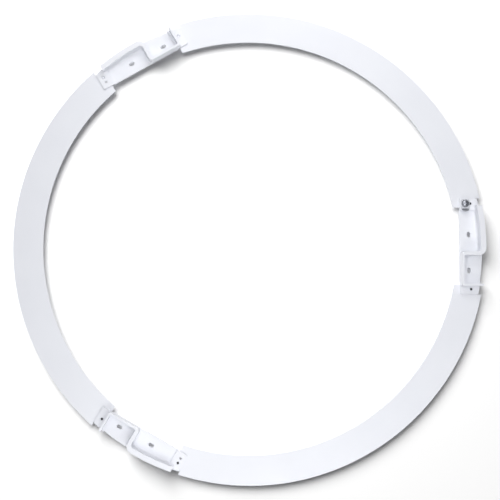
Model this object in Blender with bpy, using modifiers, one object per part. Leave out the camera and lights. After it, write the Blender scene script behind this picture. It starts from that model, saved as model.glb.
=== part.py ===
"""Segmented flat mounting ring: three arc strips, three cast brackets, six rivets and an earth terminal.

The ring lies on its back, on the XY plane, with its pockets facing +Z. A bracket is drawn in ring coordinates
as if it stood on the +X axis: x is the distance outward from the ring's centre, and y runs along the ring,
counter-clockwise seen from above. Its two-hole tab is at +y and its one-hole tab is at -y.
All sizes are in metres.
"""

import math

import bmesh
import bpy
from mathutils import Matrix, Vector

# Ring
RING_RADIUS = 0.300  # outer edge of the strips
STRIP_WIDTH = 0.0375  # at the middle of a strip
STRIP_TAPER_OFFSET = 0.003  # how far the inner edge's centre sits behind the ring's centre
STRIP_THICKNESS = 0.0015
STRIP_LIFT = 0.0012  # room under the strips for the rivet heads
BRACKET_COUNT = 3

# Bracket, plan
BRACKET_INSET = 0.0045  # its outer edge inside the strips' outer edge
BRACKET_WIDTH = 0.029  # from the straight inner edge to the outer edge
CROSS_WALL_Y = -0.0081  # middle of the wall between the two pockets
CROSS_WALL = 0.0044
OUTER_WALL = 0.0066
INNER_WALL = 0.0025
END_WALL = 0.0025
LONG_POCKET = 0.0534  # floor length
SHORT_POCKET = 0.0337
END_LEDGE = 0.0029  # from the step of the short pocket to its end wall
TWO_HOLE_TAB = 0.015
ONE_HOLE_TAB = 0.0156  # from the step of the short pocket, ledge and end wall included
WALL_OVER_TAB = 0.0055  # the outer wall's reach over the two-hole tab
WALL_SETBACK = 0.0004  # ledge between the floor's straight edge and the inner wall
WALL_PROUD = 0.0019  # how far the outer and end walls stand out past the floor's round edge

# Bracket, heights
FLOOR_THICKNESS = 0.003
TAB_THICKNESS = 0.0026
BRACKET_HEIGHT = 0.0165
WALL_FOOT = 0.0005  # the walls stop this far above the mounting plane
STEP_WEB = 0.0014  # overlap of floor and tab at a step

# Bracket, round corners
OUTER_CORNER = 0.009
POCKET_CORNER = 0.004
HEEL_CORNER = 0.004
SMALL_CORNER = 0.0016

# Holes and slots
SLOT_LENGTH = 0.0075
SLOT_WIDTH = 0.0045
SLOT_SPACING = 0.0459
SLOT_FROM_INNER_EDGE = 0.0118
SLOT_PAIR_Y = -0.00675
RIVET_FROM_INNER_EDGE = 0.0138
RIVET_FROM_STEP = 0.0085
ONE_HOLE_RIVET_FROM_STEP = 0.0095
SCREW_FROM_RIVET = 0.0066
TAPPED_HOLE_RADIUS = 0.00165

# Clearances
TOUCH_GAP = 0.0003  # between pieces that touch
STRIP_END_GAP = 0.0022  # from a strip's end to the step it points at
SHOULDER_GAP = 0.0008  # from a strip's shoulder to the tab's end
TONGUE_INSET = 0.0007  # the tongue's edge inside the bracket's edge
SCREW_PLAY = 0.0012  # room round the terminal screw in the strip

# Rivet
RIVET_RADIUS = 0.0020
RIVET_BORE = 0.0015
RIVET_BORE_DEPTH = 0.0021
RIVET_HEAD_RADIUS = 0.0034
RIVET_HEAD_HEIGHT = 0.0006
RIVET_FLARE = 0.0005
RIVET_FLARE_HEIGHT = 0.0007

# Earth terminal
SCREW_HEAD_RADIUS = 0.0042
SCREW_HEAD_HEIGHT = 0.0027
SCREW_TIP_BELOW_TAB = 0.0012
RECESS_SPAN = 0.0046
RECESS_WIDTH = 0.0010
RECESS_DEPTH = 0.0016
LOCK_WASHER_RADIUS = 0.0050
LOCK_WASHER_THICKNESS = 0.0007
LOCK_WASHER_TEETH = 10
TOOTH_DEPTH = 0.0010
CLAMP_WIDTH = 0.0110
CLAMP_THICKNESS = 0.0009
CLAMP_BACK = 0.0052  # from the screw away from the pocket
CLAMP_REACH = 0.0105  # from the screw to the tip of the lip
CLAMP_LIP = 0.0024  # rise of the lip
CLAMP_BEND = 0.0045  # length of the lip in plan

# Drawing
ARC_ERROR = 0.000025  # largest distance between an arc and its chords
OVERSHOOT = 0.005  # how far a cutter runs past what it cuts
WELD = 0.000001

# Worked out from the values above
bracket_outer = RING_RADIUS - BRACKET_INSET
inner_edge = bracket_outer - BRACKET_WIDTH
cross_wall_long_face = CROSS_WALL_Y + CROSS_WALL / 2
cross_wall_short_face = CROSS_WALL_Y - CROSS_WALL / 2
long_step = cross_wall_long_face + LONG_POCKET
short_step = cross_wall_short_face - SHORT_POCKET
long_tab_end = long_step + TWO_HOLE_TAB
short_tab_end = short_step - ONE_HOLE_TAB
end_wall_face = short_step - END_LEDGE
strip_top = STRIP_LIFT + STRIP_THICKNESS
tab_bottom = strip_top + TOUCH_GAP
tab_top = tab_bottom + TAB_THICKNESS
rivet_x = inner_edge + RIVET_FROM_INNER_EDGE
long_rivet_y = long_step + RIVET_FROM_STEP
short_rivet_y = short_step - ONE_HOLE_RIVET_FROM_STEP
screw_x = rivet_x - SCREW_FROM_RIVET
rivet_hole_radius = RIVET_RADIUS + TOUCH_GAP
shank_radius = TAPPED_HOLE_RADIUS - TOUCH_GAP
long_strip_end = long_step + STEP_WEB + STRIP_END_GAP
short_strip_end = short_step - STEP_WEB - STRIP_END_GAP
tongue_outer = bracket_outer - TONGUE_INSET
bracket_turn = 2 * math.pi / BRACKET_COUNT
wall_outer = bracket_outer + WALL_PROUD
centre_shift = (RING_RADIUS - wall_outer) / 2  # puts the box of the whole ring on the origin


# ---------------------------------------------------------------- drawing helpers


def arc(centre, radius, start, end):
    """Points along an arc, both ends included; angles in radians from +x."""
    step = 2 * math.acos(1 - min(ARC_ERROR / radius, 0.25))
    count = max(3, math.ceil(abs(end - start) / step))
    angles = [start + (end - start) * i / count for i in range(count + 1)]
    return [Vector((centre[0] + radius * math.cos(a), centre[1] + radius * math.sin(a))) for a in angles]


def circle(centre, radius):
    return arc(centre, radius, 0, 2 * math.pi)[:-1]


def slot(centre, length, width):
    """A slot with round ends, its long side along y."""
    reach = (length - width) / 2
    x, y = centre
    return arc((x, y + reach), width / 2, 0, math.pi) + arc((x, y - reach), width / 2, math.pi, 2 * math.pi)


def height_on(radius, x_or_y):
    """The other coordinate of a point on a circle about the ring's centre."""
    return math.sqrt(radius**2 - x_or_y**2)


def ring_arc(radius, y_start, y_end):
    """An arc about the ring's centre between two y values, on the +x side."""
    return arc((0, 0), radius, math.asin(y_start / radius), math.asin(y_end / radius))


def corner_on_ring(radius, y_face, corner):
    """Round corner between a circle about the ring's centre and a face at y_face. The corner's centre lies at a
    larger y than the face. Returns its points, from the circle to the face."""
    y = y_face + corner
    x = height_on(radius - corner, y)
    return arc((x, y), corner, math.atan2(y, x), -math.pi / 2)


def collection(name):
    made = bpy.data.collections.new(name)
    bpy.context.scene.collection.children.link(made)
    return made


def evaluated_mesh(obj):
    bpy.context.view_layer.update()
    graph = bpy.context.evaluated_depsgraph_get()
    return bpy.data.meshes.new_from_object(obj.evaluated_get(graph))


def helper(name, mesh):
    """A mesh object that only shapes other objects."""
    obj = bpy.data.objects.new(name, mesh)
    obj.hide_render = True
    obj.display_type = "WIRE"
    helpers.objects.link(obj)
    return obj


def plate(name, outlines, bottom, top):
    """A flat plate between two heights; the first outline is its edge, and the others are holes."""
    curve = bpy.data.curves.new(name, "CURVE")
    curve.dimensions = "2D"
    curve.fill_mode = "BOTH"
    curve.extrude = (top - bottom) / 2
    for outline in outlines:
        spline = curve.splines.new("POLY")
        spline.points.add(len(outline) - 1)
        spline.use_cyclic_u = True
        for point, corner in zip(spline.points, outline):
            point.co = (corner[0], corner[1], 0, 1)
    source = bpy.data.objects.new(name, curve)
    helpers.objects.link(source)
    mesh = evaluated_mesh(source)
    bpy.data.objects.remove(source)
    welded = bmesh.new()
    welded.from_mesh(mesh)
    bmesh.ops.remove_doubles(welded, verts=welded.verts, dist=WELD)
    bmesh.ops.translate(welded, verts=welded.verts, vec=(0, 0, (top + bottom) / 2))
    bmesh.ops.dissolve_limit(
        welded, angle_limit=math.radians(0.1), verts=welded.verts, edges=welded.edges
    )
    bmesh.ops.recalc_face_normals(welded, faces=welded.faces)
    welded.to_mesh(mesh)
    welded.free()
    return helper(name, mesh)


def box(name, low, high):
    made = bmesh.new()
    bmesh.ops.create_cube(made, size=1)
    low, high = Vector(low), Vector(high)
    bmesh.ops.scale(made, vec=high - low, verts=made.verts)
    bmesh.ops.translate(made, vec=(low + high) / 2, verts=made.verts)
    mesh = bpy.data.meshes.new(name)
    made.to_mesh(mesh)
    made.free()
    return helper(name, mesh)


def turned(name, profile, steps, axis_x=0.0, axis_y=0.0):
    """A solid of revolution about a vertical axis. The profile is (radius, height) points, top to bottom."""
    curve_mesh = bpy.data.meshes.new(name)
    points = [(radius, 0, height) for radius, height in profile]
    curve_mesh.from_pydata(points, [(i, i + 1) for i in range(len(points) - 1)], [])
    obj = helper(name, curve_mesh)
    screw = obj.modifiers.new("turn", "SCREW")
    screw.steps = steps
    screw.render_steps = steps
    screw.use_merge_vertices = True
    screw.merge_threshold = 0.00001
    screw.use_smooth_shade = False
    mesh = evaluated_mesh(obj)
    bpy.data.objects.remove(obj)
    mesh.transform(Matrix.Translation((axis_x, axis_y, 0)))
    return helper(name, mesh)


def boolean(target, tool, operation):
    """Combines two helpers into the first, and removes the second."""
    modifier = target.modifiers.new(operation.lower(), "BOOLEAN")
    modifier.operation = operation
    modifier.object = tool
    modifier.solver = "EXACT"
    mesh = evaluated_mesh(target)
    target.modifiers.clear()
    target.data = mesh
    bpy.data.objects.remove(tool)
    return target


def material(name, color, roughness, metallic):
    made = bpy.data.materials.new(name)
    made.use_nodes = True
    shader = made.node_tree.nodes["Principled BSDF"]
    shader.inputs["Base Color"].default_value = (*color, 1)
    shader.inputs["Roughness"].default_value = roughness
    shader.inputs["Metallic"].default_value = metallic
    return made


def finished(source, name, surface, smooth_angle=40):
    """The mesh of a helper as a shaded mesh that parts can share. The helper is removed."""
    mesh = source.data
    mesh.name = name
    mesh.materials.clear()
    mesh.materials.append(surface)
    mesh.shade_smooth()
    mesh.set_sharp_from_angle(angle=math.radians(smooth_angle))
    bpy.data.objects.remove(source)
    return mesh


def body_frame(name, spot, parent):
    """An empty on a body's joint axis; everything on that body hangs from it."""
    empty = bpy.data.objects.new(name, None)
    empty.empty_display_size = 0.02
    ring.objects.link(empty)
    empty.parent = parent
    start = parent.matrix_world.translation if parent else Vector()
    empty.location = Vector(spot) - start
    bpy.context.view_layer.update()
    return empty


def part(name, mesh, body, turn=0.0):
    """Places a mesh drawn in ring coordinates, turned round the ring, on a body."""
    obj = bpy.data.objects.new(name, mesh)
    ring.objects.link(obj)
    obj.parent = body
    start = Matrix.Translation((centre_shift, 0, 0)) @ Matrix.Rotation(turn, 4, "Z")
    obj.matrix_parent_inverse = body.matrix_world.inverted()
    obj.matrix_basis = start
    return obj


def on_ring(x, y, turn, height=0.0):
    """World position of a point in a bracket's drawing, once the bracket is turned round the ring."""
    spot = Matrix.Rotation(turn, 4, "Z") @ Vector((x, y, height))
    return spot + Vector((centre_shift, 0, 0))


# ---------------------------------------------------------------- bracket


def bracket_outline():
    """Plan of the whole bracket: straight inner edge, outer edge on a circle."""
    corner = SMALL_CORNER
    low, high = short_tab_end, long_tab_end
    outer = ring_arc(bracket_outer, low, high)
    inner_high = arc((inner_edge + corner, high - corner), corner, math.pi / 2, math.pi)
    inner_low = arc((inner_edge + corner, low + corner), corner, math.pi, 1.5 * math.pi)
    return outer + inner_high + inner_low


def bracket_openings():
    slot_x = inner_edge + SLOT_FROM_INNER_EDGE
    slots = [
        slot((slot_x, SLOT_PAIR_Y + side * SLOT_SPACING / 2), SLOT_LENGTH, SLOT_WIDTH)
        for side in (-1, 1)
    ]
    rivet_holes = [
        circle((rivet_x, y), rivet_hole_radius) for y in (long_rivet_y, short_rivet_y)
    ]
    return slots + rivet_holes + [circle((screw_x, long_rivet_y), TAPPED_HOLE_RADIUS)]


def bracket_side_profile():
    """The joggled plate seen along x, as (y, z) points: a floor between two raised tabs."""
    return [
        (long_tab_end + OVERSHOOT, tab_bottom),
        (long_tab_end + OVERSHOOT, tab_top),
        (long_step, tab_top),
        (long_step, FLOOR_THICKNESS),
        (short_step, FLOOR_THICKNESS),
        (short_step, tab_top),
        (short_tab_end - OVERSHOOT, tab_top),
        (short_tab_end - OVERSHOOT, tab_bottom),
        (short_step - STEP_WEB, tab_bottom),
        (short_step - STEP_WEB, 0),
        (long_step + STEP_WEB, 0),
        (long_step + STEP_WEB, tab_bottom),
    ]


def bracket_plate():
    """The joggled plate, cut to the bracket's plan."""
    depth = BRACKET_WIDTH + 2 * OVERSHOOT
    joggled = plate("joggled", [bracket_side_profile()], 0, depth)
    # The profile's (x, y, thickness) becomes (y, z, x) of the bracket.
    joggled.data.transform(Matrix(((0, 0, 1, 0), (1, 0, 0, 0), (0, 1, 0, 0), (0, 0, 0, 1))))
    joggled.data.transform(Matrix.Translation((inner_edge - OVERSHOOT, 0, 0)))
    plan = plate("plan", [bracket_outline()] + bracket_openings(), -OVERSHOOT, tab_top + OVERSHOOT)
    return boolean(joggled, plan, "INTERSECT")


def wall_outline():
    """Plan of the S-shaped wall: outer wall, cross wall, inner wall and end wall in one line."""
    pocket_side = wall_outer - OUTER_WALL
    inside = inner_edge + WALL_SETBACK
    short_side = inside + INNER_WALL
    end_face = end_wall_face - END_WALL
    wall_end = long_step + WALL_OVER_TAB
    corner = SMALL_CORNER

    outer_corner = corner_on_ring(wall_outer, cross_wall_short_face, OUTER_CORNER)
    outer_start = outer_corner[0].y
    points = ring_arc(wall_outer, wall_end, outer_start)[:-1] + outer_corner
    points += arc(
        (short_side + corner, cross_wall_short_face - corner), corner, math.pi / 2, math.pi
    )
    points += arc((short_side + corner, end_wall_face + corner), corner, math.pi, 1.5 * math.pi)
    points += [Vector((height_on(wall_outer, end_wall_face), end_wall_face))]
    points += [Vector((height_on(wall_outer, end_face), end_face))]
    points += arc((inside + corner, end_face + corner), corner, 1.5 * math.pi, math.pi)
    heel = HEEL_CORNER
    points += arc((inside + heel, cross_wall_long_face - heel), heel, math.pi, math.pi / 2)
    pocket_corner = corner_on_ring(pocket_side, cross_wall_long_face, POCKET_CORNER)[::-1]
    points += pocket_corner
    points += ring_arc(pocket_side, pocket_corner[-1].y, wall_end)[1:]
    return points


def bracket_wall():
    """The S-shaped wall, kept off the strips where it runs over a tab."""
    wall = plate("wall", [wall_outline()], WALL_FOOT, BRACKET_HEIGHT)
    over_tab = (tab_bottom + tab_top) / 2
    wide = RING_RADIUS + OVERSHOOT
    steps = ((long_step + STEP_WEB / 2, wide), (-wide, short_step - STEP_WEB / 2))
    for low_y, high_y in steps:
        under_tab = box("under_tab", (0, low_y, -OVERSHOOT), (wide, high_y, over_tab))
        wall = boolean(wall, under_tab, "DIFFERENCE")
    return wall


def countersink(y):
    """Cutter for the flared end of a rivet, in the top of a tab. Its cone starts inside the rivet hole."""
    slope = RIVET_FLARE_HEIGHT / RIVET_FLARE
    inside = rivet_hole_radius / 4
    outside = RIVET_FLARE + OVERSHOOT
    low = tab_top - RIVET_FLARE_HEIGHT - inside * slope
    high = tab_top + OVERSHOOT * slope
    profile = [
        (0, high),
        (rivet_hole_radius + outside, high),
        (rivet_hole_radius - inside, low),
        (0, low),
    ]
    return turned("countersink", profile, 24, rivet_x, y)


def bracket_mesh(surface):
    bracket = boolean(bracket_plate(), bracket_wall(), "UNION")
    for y in (long_rivet_y, short_rivet_y):
        bracket = boolean(bracket, countersink(y), "DIFFERENCE")
    return finished(bracket, "bracket", surface)


# ---------------------------------------------------------------- arc strip


def turned_points(points, turn):
    rotation = Matrix.Rotation(turn, 2)
    return [rotation @ Vector(point) for point in points]


def strip_outline():
    """Plan of the strip between the bracket on the +x axis and the next one, counter-clockwise."""
    shoulder = long_tab_end + SHOULDER_GAP
    far_shoulder = short_tab_end - SHOULDER_GAP
    start_angle = math.asin(shoulder / RING_RADIUS)
    end_angle = bracket_turn + math.asin(far_shoulder / RING_RADIUS)
    outer = arc((0, 0), RING_RADIUS, start_angle, end_angle)

    far_tongue = turned_points(ring_arc(tongue_outer, far_shoulder, short_strip_end), bracket_turn)
    near_tongue = ring_arc(tongue_outer, long_strip_end, shoulder)

    half = bracket_turn / 2
    centre = Vector((-STRIP_TAPER_OFFSET * math.cos(half), -STRIP_TAPER_OFFSET * math.sin(half)))
    radius = RING_RADIUS - STRIP_WIDTH + STRIP_TAPER_OFFSET
    near_x = centre.x + math.sqrt(radius**2 - (long_strip_end - centre.y) ** 2)
    near_end = Vector((near_x, long_strip_end))
    local_centre = Matrix.Rotation(-bracket_turn, 2) @ centre
    far_x = local_centre.x + math.sqrt(radius**2 - (short_strip_end - local_centre.y) ** 2)
    far_end = Matrix.Rotation(bracket_turn, 2) @ Vector((far_x, short_strip_end))
    inner_from = math.atan2(far_end.y - centre.y, far_end.x - centre.x)
    inner_to = math.atan2(near_end.y - centre.y, near_end.x - centre.x)
    inner = arc(centre, radius, inner_from, inner_to)
    return outer + far_tongue + inner + near_tongue


def strip_mesh(surface):
    """A flat strip with a rivet hole in each tongue and play round the terminal screw in one of them."""
    far_hole = turned_points(circle((rivet_x, short_rivet_y), rivet_hole_radius), bracket_turn)
    holes = [
        circle((rivet_x, long_rivet_y), rivet_hole_radius),
        circle((screw_x, long_rivet_y), TAPPED_HOLE_RADIUS + SCREW_PLAY),
        far_hole,
    ]
    strip = plate("strip", [strip_outline()] + holes, STRIP_LIFT, strip_top)
    return finished(strip, "arc_strip", surface)


# ---------------------------------------------------------------- rivet


def rivet_mesh(name, y, surface):
    """Semi-tubular rivet: flat head under the strip, hollow end flared into the tab's countersink."""
    head_top = STRIP_LIFT - TOUCH_GAP
    flare_bottom = tab_top - RIVET_FLARE_HEIGHT
    bore_bottom = tab_top - RIVET_BORE_DEPTH
    profile = [
        (0, bore_bottom),
        (RIVET_BORE, bore_bottom),
        (RIVET_BORE, tab_top),
        (RIVET_RADIUS + RIVET_FLARE, tab_top),
        (RIVET_RADIUS, flare_bottom),
        (RIVET_RADIUS, head_top),
        (RIVET_HEAD_RADIUS, head_top),
        (RIVET_HEAD_RADIUS, head_top - RIVET_HEAD_HEIGHT),
        (0, head_top - RIVET_HEAD_HEIGHT),
    ]
    return finished(turned(name, profile, 24, rivet_x, y), name, surface)


# ---------------------------------------------------------------- earth terminal

clamp_bottom = tab_top + TOUCH_GAP
clamp_top = clamp_bottom + CLAMP_THICKNESS
lock_bottom = clamp_top + TOUCH_GAP
lock_top = lock_bottom + LOCK_WASHER_THICKNESS
head_bottom = lock_top + TOUCH_GAP
terminal_hole = TAPPED_HOLE_RADIUS + TOUCH_GAP


def clamp_washer_mesh(surface):
    """Clamp washer: a flat tongue whose pocket end rises in a round lip."""
    back = long_rivet_y + CLAMP_BACK
    tip = long_rivet_y - CLAMP_REACH
    bend = tip + CLAMP_BEND
    under = [(bend, clamp_bottom), (back + OVERSHOOT, clamp_bottom)]
    over = [(back + OVERSHOOT, clamp_top), (bend, clamp_top)]
    lip_length = CLAMP_BEND + OVERSHOOT
    runs = [lip_length * i / 12 for i in range(1, 13)]
    lifts = [CLAMP_LIP * (run / CLAMP_BEND) ** 1.5 for run in runs]
    upper_lip = [(bend - run, clamp_top + lift) for run, lift in zip(runs, lifts)]
    lower_lip = [(bend - run, clamp_bottom + lift) for run, lift in zip(runs, lifts)][::-1]
    bent = plate("bent", [under + over + upper_lip + lower_lip], 0, CLAMP_WIDTH + 2 * OVERSHOOT)
    bent.data.transform(Matrix(((0, 0, 1, 0), (1, 0, 0, 0), (0, 1, 0, 0), (0, 0, 0, 1))))
    bent.data.transform(Matrix.Translation((screw_x - CLAMP_WIDTH / 2 - OVERSHOOT, 0, 0)))

    half = CLAMP_WIDTH / 2
    corner = SMALL_CORNER
    round_end = arc((screw_x, tip + half), half, math.pi, 2 * math.pi)
    far_corners = arc((screw_x + half - corner, back - corner), corner, 0, math.pi / 2) + arc(
        (screw_x - half + corner, back - corner), corner, math.pi / 2, math.pi
    )
    hole = circle((screw_x, long_rivet_y), terminal_hole)
    plan = plate(
        "clamp_plan",
        [round_end + far_corners, hole],
        clamp_bottom - OVERSHOOT,
        clamp_top + CLAMP_LIP + 2 * OVERSHOOT,
    )
    return finished(boolean(bent, plan, "INTERSECT"), "clamp_washer", surface)


def lock_washer_mesh(surface):
    """Toothed lock washer."""
    tooth = 2 * math.pi / LOCK_WASHER_TEETH
    outline = []
    for i in range(LOCK_WASHER_TEETH):
        for share, radius in (
            (0.0, LOCK_WASHER_RADIUS),
            (0.5, LOCK_WASHER_RADIUS),
            (0.62, LOCK_WASHER_RADIUS - TOOTH_DEPTH),
            (0.88, LOCK_WASHER_RADIUS - TOOTH_DEPTH),
        ):
            angle = (i + share) * tooth
            outline.append((screw_x + radius * math.cos(angle), long_rivet_y + radius * math.sin(angle)))
    hole = circle((screw_x, long_rivet_y), terminal_hole)
    washer = plate("lock_washer", [outline, hole], lock_bottom, lock_top)
    return finished(washer, "lock_washer", surface)


def screw_mesh(surface):
    """Pan-head screw with a cross recess, its shank drawn inside the thread."""
    top = head_bottom + SCREW_HEAD_HEIGHT
    shoulder = top - SCREW_HEAD_HEIGHT / 2
    bulge = [
        (
            SCREW_HEAD_RADIUS * math.sin(angle),
            shoulder + (top - shoulder) * math.cos(angle),
        )
        for angle in [math.pi / 2 * i / 6 for i in range(7)]
    ]
    tip = tab_bottom - SCREW_TIP_BELOW_TAB
    profile = bulge + [
        (SCREW_HEAD_RADIUS, head_bottom),
        (shank_radius, head_bottom),
        (shank_radius, tip + shank_radius / 2),
        (shank_radius / 2, tip),
        (0, tip),
    ]
    screw = turned("terminal_screw", profile, 28, screw_x, long_rivet_y)
    for along_x, along_y in ((RECESS_SPAN, RECESS_WIDTH), (RECESS_WIDTH, RECESS_SPAN)):
        arm = box(
            "recess",
            (screw_x - along_x / 2, long_rivet_y - along_y / 2, top - RECESS_DEPTH),
            (screw_x + along_x / 2, long_rivet_y + along_y / 2, top + OVERSHOOT),
        )
        screw = boolean(screw, arm, "DIFFERENCE")
    return finished(screw, "terminal_screw", surface)


# ---------------------------------------------------------------- assembly

for old in list(bpy.data.objects):
    bpy.data.objects.remove(old)
ring = collection("mounting_ring")
helpers = collection("cutters")
helpers.hide_render = True

strip_paint = material("powder_coated_steel", (0.83, 0.84, 0.87), 0.45, 0.0)
bracket_paint = material("painted_casting", (0.84, 0.85, 0.88), 0.42, 0.0)
rivet_paint = material("painted_rivet", (0.82, 0.83, 0.86), 0.40, 0.0)
zinc = material("bright_zinc_plating", (0.62, 0.63, 0.66), 0.25, 1.0)

bracket = bracket_mesh(bracket_paint)
strip = strip_mesh(strip_paint)
long_rivet = rivet_mesh("two_hole_tab_rivet", long_rivet_y, rivet_paint)
short_rivet = rivet_mesh("one_hole_tab_rivet", short_rivet_y, rivet_paint)

BRACKET_PLACES = ("right", "upper_left", "lower_left")
STRIP_PLACES = ("upper_right", "left", "lower_right")

body = None
for index, (bracket_place, strip_place) in enumerate(zip(BRACKET_PLACES, STRIP_PLACES)):
    turn = index * bracket_turn
    joint_y = short_rivet_y if body else 0
    joint_x = rivet_x if body else 0
    body = body_frame(f"frame_bracket_{bracket_place}", on_ring(joint_x, joint_y, turn), body)
    part(f"bracket_{bracket_place}", bracket, body, turn)
    part(f"rivet_{bracket_place}_two_hole_tab", long_rivet, body, turn)
    part(f"rivet_{bracket_place}_one_hole_tab", short_rivet, body, turn)
    if index == 0:
        terminal = body_frame("frame_terminal", on_ring(screw_x, long_rivet_y, turn), body)
    body = body_frame(f"frame_strip_{strip_place}", on_ring(rivet_x, long_rivet_y, turn), body)
    part(f"arc_strip_{strip_place}", strip, body, turn)

part("terminal_clamp_washer", clamp_washer_mesh(zinc), terminal)
part("terminal_lock_washer", lock_washer_mesh(zinc), terminal)
part("terminal_screw", screw_mesh(zinc), terminal)
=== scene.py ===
# %% [markdown]
# # A segmented mounting ring, dressed for its portrait
#
# The ring is a flat white band that holds a large round ceiling light. Three arc strips of sheet steel are
# riveted to three cast brackets, and one bracket carries an earth screw. The solid model gives every piece
# its place. This script gives each piece its fine shape, with soft edges and fillets, and its finish.

# %% Load the ring
import math

import bmesh
import bpy
from mathutils import Matrix, Vector


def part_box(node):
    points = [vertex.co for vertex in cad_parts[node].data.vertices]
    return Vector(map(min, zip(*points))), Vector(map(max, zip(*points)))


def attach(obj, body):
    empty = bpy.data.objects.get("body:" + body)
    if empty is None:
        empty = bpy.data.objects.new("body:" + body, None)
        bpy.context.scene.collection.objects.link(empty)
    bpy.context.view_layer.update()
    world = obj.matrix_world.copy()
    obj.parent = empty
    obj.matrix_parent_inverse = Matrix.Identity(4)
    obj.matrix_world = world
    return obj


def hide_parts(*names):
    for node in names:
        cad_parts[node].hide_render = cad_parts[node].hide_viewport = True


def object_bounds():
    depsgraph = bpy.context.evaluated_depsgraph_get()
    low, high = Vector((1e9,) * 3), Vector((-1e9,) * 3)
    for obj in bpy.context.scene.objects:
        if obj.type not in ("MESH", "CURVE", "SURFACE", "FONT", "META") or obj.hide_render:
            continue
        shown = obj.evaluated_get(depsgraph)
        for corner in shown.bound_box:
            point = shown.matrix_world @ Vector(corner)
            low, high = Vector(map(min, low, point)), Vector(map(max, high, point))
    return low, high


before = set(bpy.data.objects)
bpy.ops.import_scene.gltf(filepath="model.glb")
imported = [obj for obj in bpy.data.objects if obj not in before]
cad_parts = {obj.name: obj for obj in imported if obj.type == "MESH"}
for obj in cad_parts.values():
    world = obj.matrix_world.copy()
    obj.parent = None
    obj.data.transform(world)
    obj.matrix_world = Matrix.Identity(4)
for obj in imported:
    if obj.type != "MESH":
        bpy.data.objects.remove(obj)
solid_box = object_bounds()
MM = 0.001
print("nodes:", sorted(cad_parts))
print("box:", [[round(v, 4) for v in corner] for corner in solid_box])

# %% [markdown]
# ## Where things are
#
# A bracket could be drawn three times, once in each place. It's easier to draw it once, as if it stood on
# the +X axis, and then to turn the finished mesh round the ring. So x is the distance outward from the
# ring's centre, and y runs along the ring. All drawing is in millimetres, and the last step turns it to
# metres.

# %% Places and sizes read from the solid model
THIRD = 2 * math.pi / 3
PLACES = {"right": 0, "upper_left": 1, "lower_left": 2}
STRIPS = {"upper_right": 0, "left": 1, "lower_right": 2}

bracket_low, bracket_high = (Vector(c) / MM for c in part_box("bracket_right"))
strip_low, strip_high = (Vector(c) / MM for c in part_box("arc_strip_left"))
whole_low, whole_high = (Vector(c) / MM for c in solid_box)
RING_RADIUS = (whole_high.y - whole_low.y) / 2
centre_x = whole_low.x + RING_RADIUS


def middle(node):
    """Middle of a node's box, in the bracket's own drawing when the node is on the right bracket."""
    low, high = (Vector(c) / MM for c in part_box(node))
    spot = (low + high) / 2
    return Vector((spot.x - centre_x, spot.y, spot.z))


wall_outer = bracket_high.x - centre_x
inner_edge = bracket_low.x - centre_x
tab_high, tab_low = bracket_high.y, bracket_low.y
wall_top = bracket_high.z
long_rivet = middle("rivet_right_two_hole_tab")
short_rivet = middle("rivet_right_one_hole_tab")
terminal = middle("terminal_screw")
tab_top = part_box("rivet_right_two_hole_tab")[1][2] / MM
strip_bottom, strip_top = strip_low.z, strip_high.z
print(f"ring radius {RING_RADIUS:.1f} mm, wall {wall_top:.1f} mm high, tab top {tab_top:.1f} mm")

# %% [markdown]
# ## Drawing tools
#
# A pressed or cast piece with upright sides starts from its outline. An outline here is a list of points,
# with arcs where the real piece is round. The outline could also be a curve object with an extrude, but
# with bmesh the same points can be lofted through slightly different outlines, and that gives the slight
# taper, or draft, which lets a casting leave its mould.


# %% Outlines
def arc(centre, radius, start, end, count):
    """Points along an arc, both ends included, angles in radians."""
    steps = [start + (end - start) * i / count for i in range(count + 1)]
    return [Vector((centre[0] + radius * math.cos(a), centre[1] + radius * math.sin(a))) for a in steps]


def circle(centre, radius, count=40):
    return arc(centre, radius, 0, 2 * math.pi, count)[:-1]


def ring_x(radius, y):
    return math.sqrt(radius**2 - y**2)


def ring_arc(radius, y_from, y_to, count):
    """An arc about the ring's centre, between two places along the ring."""
    return arc((0, 0), radius, math.asin(y_from / radius), math.asin(y_to / radius), count)


def corner_on_ring(radius, y_face, corner, count):
    """The round corner where an arc about the ring's centre meets a cross face."""
    y = y_face + corner
    x = ring_x(radius - corner, y)
    return arc((x, y), corner, math.atan2(y, x), -math.pi / 2, count)


# %% [markdown]
# ## From outlines to solids
#
# Sheet metal is cut with upright sides, and a casting's sides lean a little. Both are lofts: an outline at
# two or more heights, with faces between. A turned piece, such as a rivet or a screw, is a profile swept
# round an axis instead. Where two solids meet, a Boolean modifier with the exact solver joins or cuts them.
# It leaves a closed mesh, which a later bevel can still round.

# %% Meshes from outlines
def loft(name, layers):
    """A closed solid through layers of (outline, height), all with the same number of points."""
    made = bmesh.new()
    rows = [[made.verts.new((p[0], p[1], height)) for p in outline] for outline, height in layers]
    made.faces.new(rows[0])
    made.faces.new(rows[-1])
    for low, high in zip(rows, rows[1:]):
        for i in range(len(low)):
            j = (i + 1) % len(low)
            made.faces.new((low[i], low[j], high[j], high[i]))
    bmesh.ops.recalc_face_normals(made, faces=made.faces)
    return new_object(name, made)


def new_object(name, made):
    mesh = bpy.data.meshes.new(name)
    made.to_mesh(mesh)
    made.free()
    obj = bpy.data.objects.new(name, mesh)
    bpy.context.scene.collection.objects.link(obj)
    return obj


def prism(name, outline, bottom, top):
    return loft(name, [(outline, bottom), (outline, top)])


def block(name, low, high):
    corners = [(low[0], low[1]), (high[0], low[1]), (high[0], high[1]), (low[0], high[1])]
    return prism(name, corners, low[2], high[2])


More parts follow.
